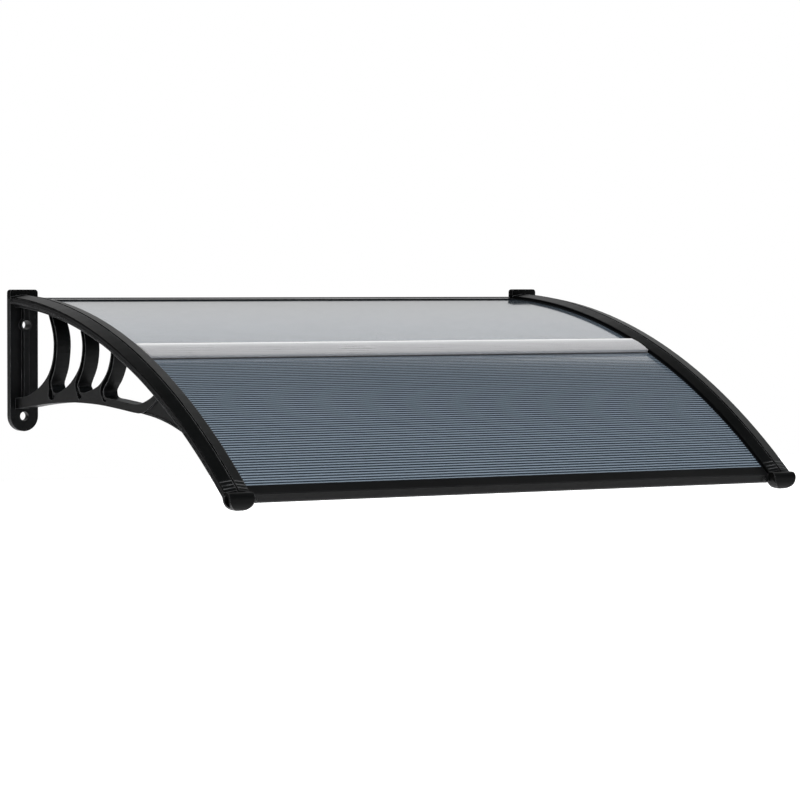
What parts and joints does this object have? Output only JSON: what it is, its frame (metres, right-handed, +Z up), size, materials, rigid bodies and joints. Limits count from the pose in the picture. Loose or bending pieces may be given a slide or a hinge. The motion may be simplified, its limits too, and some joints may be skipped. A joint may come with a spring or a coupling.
{
  "type": "door canopy",
  "caption": "Curved wall-mounted door canopy with two moulded truss brackets, smoke twin-wall roof sheets, a pale joint bar across the middle and dark bars along the front and the wall.",
  "frame": {"origin": "mid-width, on the rear bar's back face, in the plane of the wall", "axes": "+X along the wall to the right as seen from in front, +Y into the wall, +Z up"},
  "size_m": [1, 0.7411, 0.3061],
  "materials": {
    "black_plastic": "moulded black plastic with a light satin sheen",
    "smoke_polycarbonate": "smoke-blue twin-wall polycarbonate, glossy, with fine flutes across the width",
    "silver_aluminium": "satin anodised extrusion with fine lengthwise lines",
    "black_aluminium": "black coated extrusion, satin",
    "black_rubber": "black rubber seal, matt",
    "screw_steel": "bright steel pan-head screw, recess left out"
  },
  "bodies": {
    "root": {"left_bracket": "black_plastic", "right_bracket": "black_plastic", "rear_sheet": "smoke_polycarbonate", "front_sheet": "smoke_polycarbonate", "joint_bar": "silver_aluminium", "joint_seal_rear": "black_rubber", "joint_seal_front": "black_rubber", "front_bar": "black_aluminium", "rear_bar": "black_aluminium", "wall_seal": "black_rubber", "joint_screw_left_1": "screw_steel", "joint_screw_left_2": "screw_steel", "joint_screw_right_1": "screw_steel", "joint_screw_right_2": "screw_steel", "rear_screw_left_1": "screw_steel", "rear_screw_left_2": "screw_steel", "rear_screw_right_1": "screw_steel", "rear_screw_right_2": "screw_steel", "front_screw_left": "black_aluminium", "front_screw_right": "black_aluminium"}
  },
  "joints": []
}
